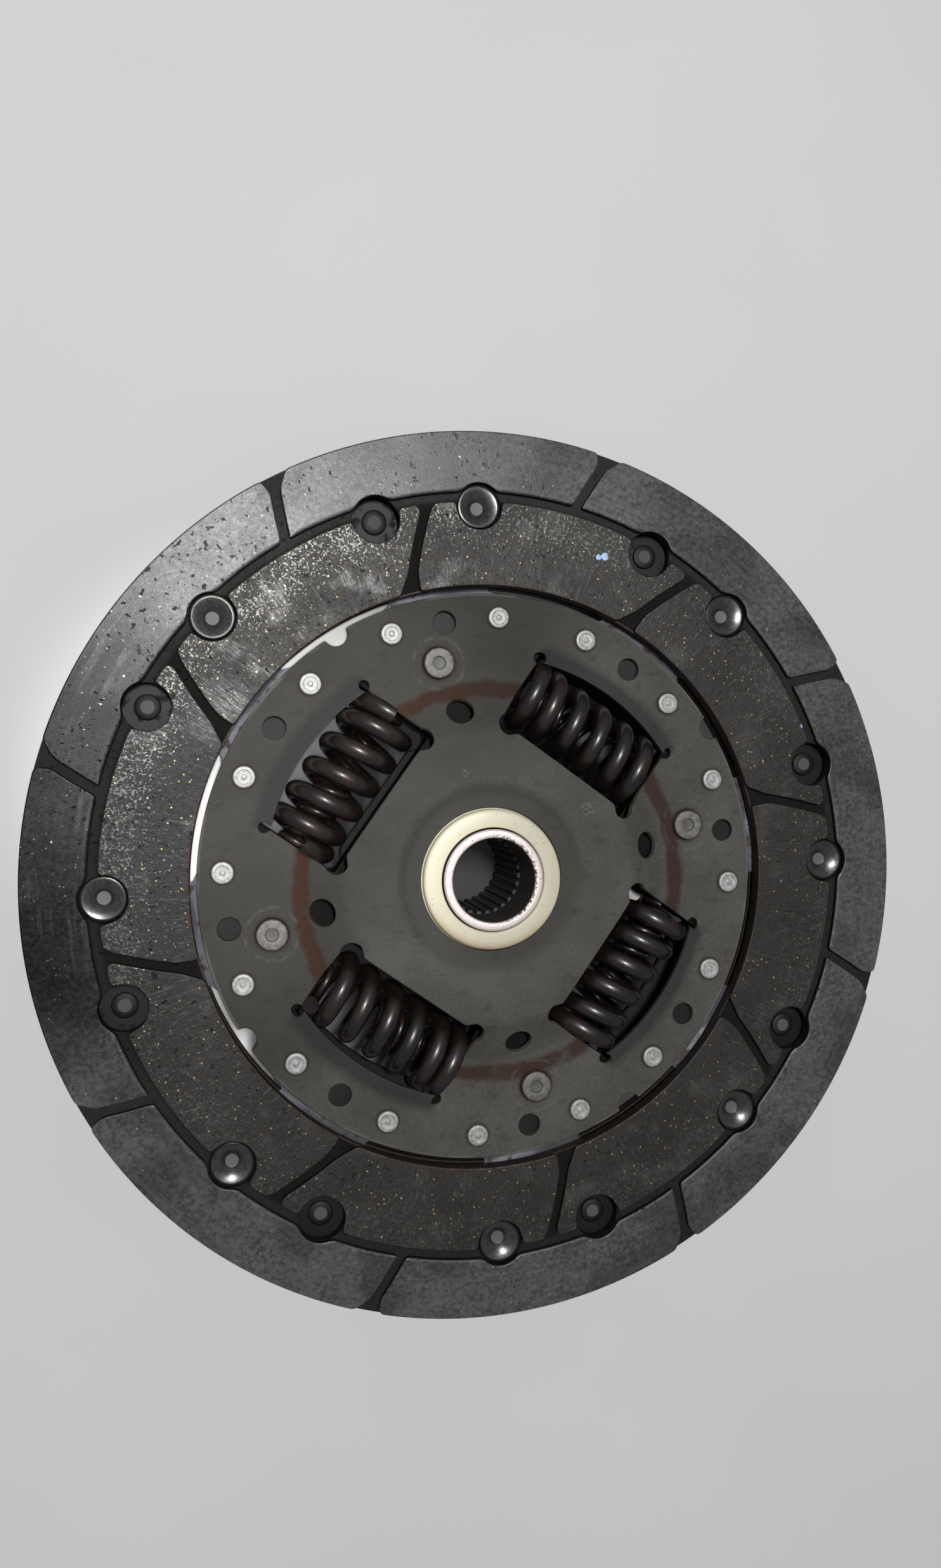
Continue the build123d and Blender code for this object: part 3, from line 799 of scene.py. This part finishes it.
# ------------------------------------------------------------------ segment rivets
# Sixteen rivets that hold the segments' feet under the drive plate. Soft steel, plated
# bright, their heads pressed flat with a raised dot in the middle.
plated = Finish("RivetSteel", IOR=2.0, Metallic=0.35)
worn = plated.at.noise(1.4, 4.0)
tone = worn.step(0.3, 0.7).mix((0.24, 0.24, 0.228, 1), (0.4, 0.4, 0.385, 1))
plated.set("Base Color", tone)
plated.set("Roughness", 0.42 + worn * 0.2)
plated.bump(worn, 0.15, 0.05)
rivets = studs(
    [
        (0, 31.3), (2.5, 31.3), (2.5, 32.1), (1.7, 32.1), (1.7, 34.6), (2.7, 34.6),
        (2.7, 35.45), (1.9, 35.5), (1.7, 35.35), (0.75, 35.3), (0.45, 35.5), (0, 35.5),
    ],
    [0.01, 0.3, 0.05, 0.02, 0.05, 0.08, 0.28, 0.1, 0.1, 0.2, 0.15, 0.01],
    40, rivet_circle, [45 * k + side for k in range(8) for side in (-rivet_turn, rivet_turn)],
)
build("SegmentRivets", "plates", "rivet_steel", plated, ["segment_rivets"], *rivets)

# ------------------------------------------------------------------ facings
# The two friction rings, upper and lower, the lower one turned over. Glass fibre and resin
# with brass chips, moulded with their grooves; the run-in faces are polished and pitted.
pack_height, well_r = 66, 5.9


def steps_at(angle, r, table):
    """Angle of a groove's side at a radius, from its (radius, angle) corners."""
    table = np.array(table)
    return angle + np.interp(r, table[:, 0], table[:, 1])


def well_reach(a, outward):
    """Where a ray at an angle leaves or meets the nearest rivet well: R cos o +- sqrt(w^2 -
    (R sin o)^2), o the angle between them, or no limit where it passes the well by."""
    off = np.radians(np.abs((a + 22.5) % 45 - 22.5) - well_turn)
    inside = np.clip(well_r**2 - (well_circle * np.sin(off)) ** 2, 0, None)
    reach = well_circle * np.cos(off) + np.where(outward, 1, -1) * np.sqrt(inside)
    return np.where(inside > 0, reach, np.where(outward, 0, 999))


facing_out, facing_in, ring_in, ring_out, face_z, floor_z = 114, 75, 96.4, 98.7, 37.5, 36.1
rim_low = [(97.5, 21.2), (110.5, 18.85), (114.5, 16.9)]
rim_high = [(97.5, 22.6), (110.5, 20.15), (114.5, 20.6)]
bore_low = [(74.0, 4.2), (80.0, 3.8), (94.5, -0.3), (97.5, -1.6)]
bore_high = [(74.0, 8.6), (80.0, 5.5), (94.5, 1.1), (97.5, 1.6)]
r_out = np.linspace(ring_out, facing_out, 40)
r_in = np.linspace(ring_in, facing_in, 50)
a = np.arange(rim_high[0][1] - 45, rim_low[0][1], 0.12)
outer_pad = softened(
    np.vstack(
        [
            polar(np.maximum(ring_out, well_reach(a, True)), a),
            polar(r_out, steps_at(0, r_out, rim_low)),
            arc(
                facing_out, steps_at(0, facing_out, rim_low),
                steps_at(-45, facing_out, rim_high),
            ),
            polar(r_out[::-1], steps_at(-45, r_out[::-1], rim_high)),
        ]
    ),
    0.75, 0.45,
)
a = np.arange(steps_at(0, ring_in, bore_high), steps_at(45, ring_in, bore_low), 0.12)
inner_pad = softened(
    np.vstack(
        [
            polar(np.minimum(ring_in, well_reach(a, False)), a),
            polar(r_in, steps_at(45, r_in, bore_low)),
            arc(
                facing_in, steps_at(45, facing_in, bore_low),
                steps_at(0, facing_in, bore_high),
            ),
            polar(r_in[::-1], steps_at(0, r_in[::-1], bore_high)),
        ]
    ),
    0.75, 0.45,
)
block = rounded(face_z - floor_z, 0.3, 0.1)[:5]
block = np.vstack([block, [(0, face_z - floor_z)]])


def worn_edge(x, y):
    """Wider rounding beside the ring groove, where the pads have worn."""
    r = np.hypot(x, y)
    return 1 + 3.0 * (1 - smooth(ring_out, 99.6, r)) * smooth(97.8, 98.6, r)


pads = []
for k in range(8):
    for pad in (outer_pad, inner_pad):
        pads.append(sheet([(spin(pad, 45 * k), block)], level(face_z), widen=worn_edge))
slab_thick = 2.2
wall = np.array([(0.12, 0), (0, 0), (0, slab_thick), (0.12, slab_thick)])
seat = np.array([(0.12, 0), (0, 0), (0, 0.2), (-1.0, 0.2), (-3.7, slab_thick)])
rims = [(circle(0, 0, facing_out, 0.6), wall), (circle(0, 0, facing_in, 0.6), wall)]
rims += [(rim, seat) for rim in around(well_circle, -well_turn, 8, well_r)]
rims += [(rim, wall) for rim in around(well_circle, well_turn, 8, well_r)]
slab = sheet(rims, level(floor_z))

lining = Finish("FrictionLining", IOR=1.45)
from_middle = lining.z - pack_height / 2
face = (from_middle * from_middle).step(18.4, 20.0)
inner_zone = lining.r.step(97.5, 95.5)
along = lining.polar(0.25, 190.0).noise(1.0, 3.0)
round_marks = lining.polar(1.1, 7.0).noise(1.0, 5.0)
fibres = lining.at.noise(0.9, 5.0)
fine = lining.at.noise(4.0, 3.0)
cloud = lining.at.noise(0.05, 6.0)
smudge = (lining.at.noise(0.13, 6.0) * 0.6 + round_marks * 0.4).step(0.42, 0.6)
tone = fibres.step(0.3, 0.7).mix((0.038, 0.038, 0.0395, 1), (0.085, 0.085, 0.0865, 1))
tone = (smudge * 0.35).mix(tone, (0.095, 0.095, 0.097, 1))
# Glossier patches on the inner pads, one round 79.5 mm at 138 degrees, are smoother and painted
# lighter: a painted sheen.
patches = lining.at.noise(0.11, 5.0).step(0.54, 0.68).most(lining.near(79.5, 138.0, 11.0, 0.7))
gloss_and_painted_sheen = patches * (0.3 + along.step(0.42, 0.58) * 0.7) * inner_zone * face
inner_tone = fine.step(0.3, 0.7).mix((0.012, 0.011, 0.01, 1), (0.04, 0.037, 0.032, 1))
tone = inner_zone.mix(tone, (gloss_and_painted_sheen * 0.5).mix(inner_tone, (0.075, 0.073, 0.067, 1)))
tone = (cloud.step(0.45, 0.6) * 0.5).mix(tone, (0.014, 0.013, 0.012, 1))
# Painted shade: the facings are darker over a wide patch on the left, round 105 mm at 162 degrees,
# and their outer pads there more metallic.
left_shade = lining.near(105.0, 162.0, 70.0)
tone = (left_shade * 0.8).mix(tone, (0.014, 0.014, 0.0145, 1))
glaze = lining.at.noise(2.2, 3.0) * 0.6 + fibres * 0.25 + along * 0.15
worked = lining.r.step(80.0, 93.0) * 0.08 + cloud.step(0.6, 0.4) * 0.03
burnished = (glaze + worked).step(0.61, 0.67) * inner_zone * face
tone = (burnished * 0.8).mix(tone, (0.12, 0.12, 0.112, 1))
scratch = along.step(0.56, 0.7) * lining.r.step(92.0, 84.0)
scratch = scratch * lining.at.noise(0.1, 3.0).step(0.42, 0.6)
polish = round_marks.step(0.5, 0.62) * (1 - inner_zone)
polish = polish * lining.at.noise(0.07, 3.0).step(0.45, 0.62)
tone = (scratch * 0.3 + polish * 0.12).mix(tone, (0.16, 0.16, 0.16, 1))
pits = lining.at.noise(0.6, 4.0).step(0.64, 0.69) * lining.at.noise(0.03, 2.0).step(0.4, 0.6)
pits = pits.most(lining.polar(0.5, 120.0).noise(1.0, 2.0).step(0.69, 0.73))
tone = (pits * 0.8).mix(tone, (0.006, 0.006, 0.006, 1))
grains = lining.at.specks(0.9, 0.16, 0.14).most(lining.at.specks(0.3, 0.1, 0.18))
brass = lining.at.stretch(1.0, 1.0, 0.5).specks(0.75, 0.2, 0.24) * (0.2 + inner_zone * 0.8)
tone = (grains * face * 0.7).mix(tone, (0.45, 0.45, 0.42, 1))
tone = (brass * face * 0.85).mix(tone, (0.5, 0.4, 0.17, 1))
rusty = lining.r.step(76.2, 75.0) * lining.at.noise(0.08, 3.0).step(0.35, 0.6)
tone = (rusty * 0.6).mix(tone, (0.035, 0.014, 0.008, 1))
# Painted shade: the sunk surfaces, groove floors, pad walls and bevels, are painted near-black,
# rougher and more metallic.
sunk = (1 - face) * lining.r.step(75.2, 75.6)
tone = sunk.mix(tone, fibres.mix((0.008, 0.0078, 0.0075, 1), (0.03, 0.028, 0.026, 1)))
drops = (89.0, 60.0, 1.1), (88.2, 61.0, 0.8), (97.8, 13.7, 1.0), (96.2, 14.6, 0.6)
for radius, degrees, reach in drops:
    drop = lining.near(radius, degrees, reach, 0.2) * fibres.step(0.3, 0.4) * face
    tone = drop.mix(tone, (0.3, 0.45, 0.68, 1))
lining.set("Base Color", tone)
sleek = lining.at.noise(0.09, 5.0).step(0.35, 0.6)
dull = (1 - burnished) * (1 - gloss_and_painted_sheen) * inner_zone
rough = 0.28 - sleek * 0.04 + fibres.step(0.3, 0.7) * 0.1
lining.set("Roughness", rough + dull * 0.2 + pits * 0.3 + sunk * 0.3)
shine = burnished * 0.75 + (grains + brass) * face * 0.6 + dull * 0.35 + sunk * 0.7
lining.set("Metallic", (shine + left_shade * (1 - inner_zone) * 0.85).least(0.9))
relief = fibres * (0.15 + inner_zone * 0.75) + fine * 0.4 + along * inner_zone * 0.3 - pits * 0.5
lining.bump(relief, 0.8, 0.12)
build("UpperFacing", "plates", "facing", lining, ["upper_facing"], slab, *pads)
lower_shells = turned_over([slab, *pads], pack_height)
build("LowerFacing", "plates", "facing", lining, ["lower_facing"], *lower_shells)

# ------------------------------------------------------------------ facing rivets
# Eight rivets hold each facing to the segments, sunk in its wells, clear of flywheel and
# pressure plate. Semi-tubular brass, their tails rolled over on the segment.
brassy = Finish("RivetBrass", IOR=2.0)
worn = brassy.at.noise(1.0, 4.0)
middle = pack_height / 2
from_middle = brassy.z - middle
upper = brassy.nearest(well_circle, -well_turn, 8)
lower = brassy.nearest(well_circle, well_turn, 8)
core = upper.step(1.75, 1.55).most(lower.step(1.75, 1.55))
# Painted shade: the rolled tails, deep in the wells, are painted near-black.
upper_tail = upper.step(6.0, 5.0) * brassy.z.step(middle, middle - 0.1)
lower_tail = lower.step(6.0, 5.0) * brassy.z.step(middle, middle + 0.1)
tail = upper_tail.most(lower_tail)
cone_tone = worn.step(0.3, 0.7).mix((0.075, 0.08, 0.08, 1), (0.12, 0.12, 0.112, 1))
# Painted shade: the top of each head's cone and its rim are painted darker.
edge = (from_middle * from_middle).step(9.6, 11.0)
cone_tone = edge.mix(cone_tone, (0.03, 0.028, 0.025, 1))
tone = tail.mix(cone_tone, (0.008, 0.008, 0.008, 1))
brassy.set("Base Color", core.mix(tone, (0.05, 0.05, 0.05, 1)))
brassy.set("Metallic", 0.85 - core * 0.8 - tail * 0.05)
brassy.set("Roughness", 0.24 + worn * 0.08 + core * 0.35 + tail * 0.3)
# The heads flare like a trumpet, which the bump adds to their straight cones.
flared = (upper.least(lower) - 2.0).most(0.0)
brassy.bump(flared * flared * -0.125 + worn * 0.012, 1.0, 1.0)
rivets = studs(
    [
        (0, 32.6), (3.2, 32.6), (3.2, 33.2), (2.2, 33.2), (2.2, 33.9), (4.9, 35.93),
        (5.65, 35.93), (5.65, 36.45), (5.4, 36.5), (4.85, 36.2), (1.65, 33.5), (0, 33.5),
    ],
    [0.01, 0.25, 0.1, 0.05, 0.05, 0.05, 0.05, 0.08, 0.1, 0.4, 0.3, 0.01],
    56, well_circle, [45 * k - well_turn for k in range(8)],
)
lower_rivets = turned_over(rivets, pack_height)
build("UpperFacingRivets", "plates", "rivet_brass", brassy, ["upper_facing_rivets"], *rivets)
build("LowerFacingRivets", "plates", "rivet_brass", brassy, ["lower_facing_rivets"], *lower_rivets)

# ------------------------------------------------------------------ bench, light and camera
# A pale painted board, not part of the disc. Under the disc it carries a painted pool of
# light under the gaps beside the plate and painted shadow under the windows. A soft light
# hangs over it, and a small spot sits beside the camera, which looks down from the left.
paint = Finish("BenchPaint", Roughness=0.7)
tone = paint.at.noise(0.01, 3.0).mix((0.62, 0.62, 0.62, 1), (0.68, 0.68, 0.68, 1))
# Painted light under the disc: a lighter ring from about 104 mm inward, then painted shadow, dark
# grey inside about 64 mm and near-black inside about 44 mm.
tone = paint.r.step(104.0, 90.0).mix(tone, (0.95, 0.94, 0.92, 1))
tone = paint.r.step(71.0, 64.0).mix(tone, (0.16, 0.16, 0.17, 1))
paint.set("Base Color", paint.r.step(56.0, 44.0).mix(tone, (0.03, 0.03, 0.03, 1)))
half = 1.5
corners = [(-half, -half, 0), (half, -half, 0), (half, half, 0), (-half, half, 0)]
board = bpy.data.meshes.new("Bench")
board.from_pydata(corners, [], [(0, 1, 2, 3)])
board.materials.append(paint.material)
bench = bpy.data.objects.new("Bench", board)
bpy.context.scene.collection.objects.link(bench)


def lamp(name, kind, place, aim, energy, **settings):
    """Light at a place, turned to face a point."""
    light = bpy.data.lights.new(name, kind)
    light.energy = energy
    for key, value in settings.items():
        setattr(light, key, value)
    made = bpy.data.objects.new(name, light)
    made.location = place
    made.rotation_euler = (Vector(place) - Vector(aim)).to_track_quat("Z", "Y").to_euler()
    bpy.context.scene.collection.objects.link(made)
    return made


lamp(
    "Overhead", "AREA", (0.007, 0.236, 1.04), (0, 0, 0), 8.5,
    shape="RECTANGLE", size=0.07, size_y=0.2,
)
pool = lamp(
    "Beside", "SPOT", (-0.0606, 0.0424, 0.318), (-0.047, 0.032, 0), 3.8,
    spot_size=math.radians(28), spot_blend=1.0, shadow_soft_size=0.006,
)
pool.visible_glossy = False
world = bpy.data.worlds.new("Room")
world.use_nodes = True
room = world.node_tree.nodes["Background"]
room.inputs["Color"].default_value = (0.96, 0.97, 1.0, 1)
room.inputs["Strength"].default_value = 0.22
bpy.context.scene.world = world
bpy.context.scene.view_settings.view_transform = "Standard"

camera = bpy.data.cameras.new("Camera")
camera.sensor_width, camera.lens = 36.0, 25.37
camera.clip_start = 0.01
viewer = bpy.data.objects.new("Camera", camera)
viewer.location = (-0.06056, 0.0424, 0.31276)
viewer.rotation_euler = [math.radians(a) for a in (-1.4525, -12.6253, -9.7975)]
bpy.context.scene.collection.objects.link(viewer)
bpy.context.scene.camera = viewer
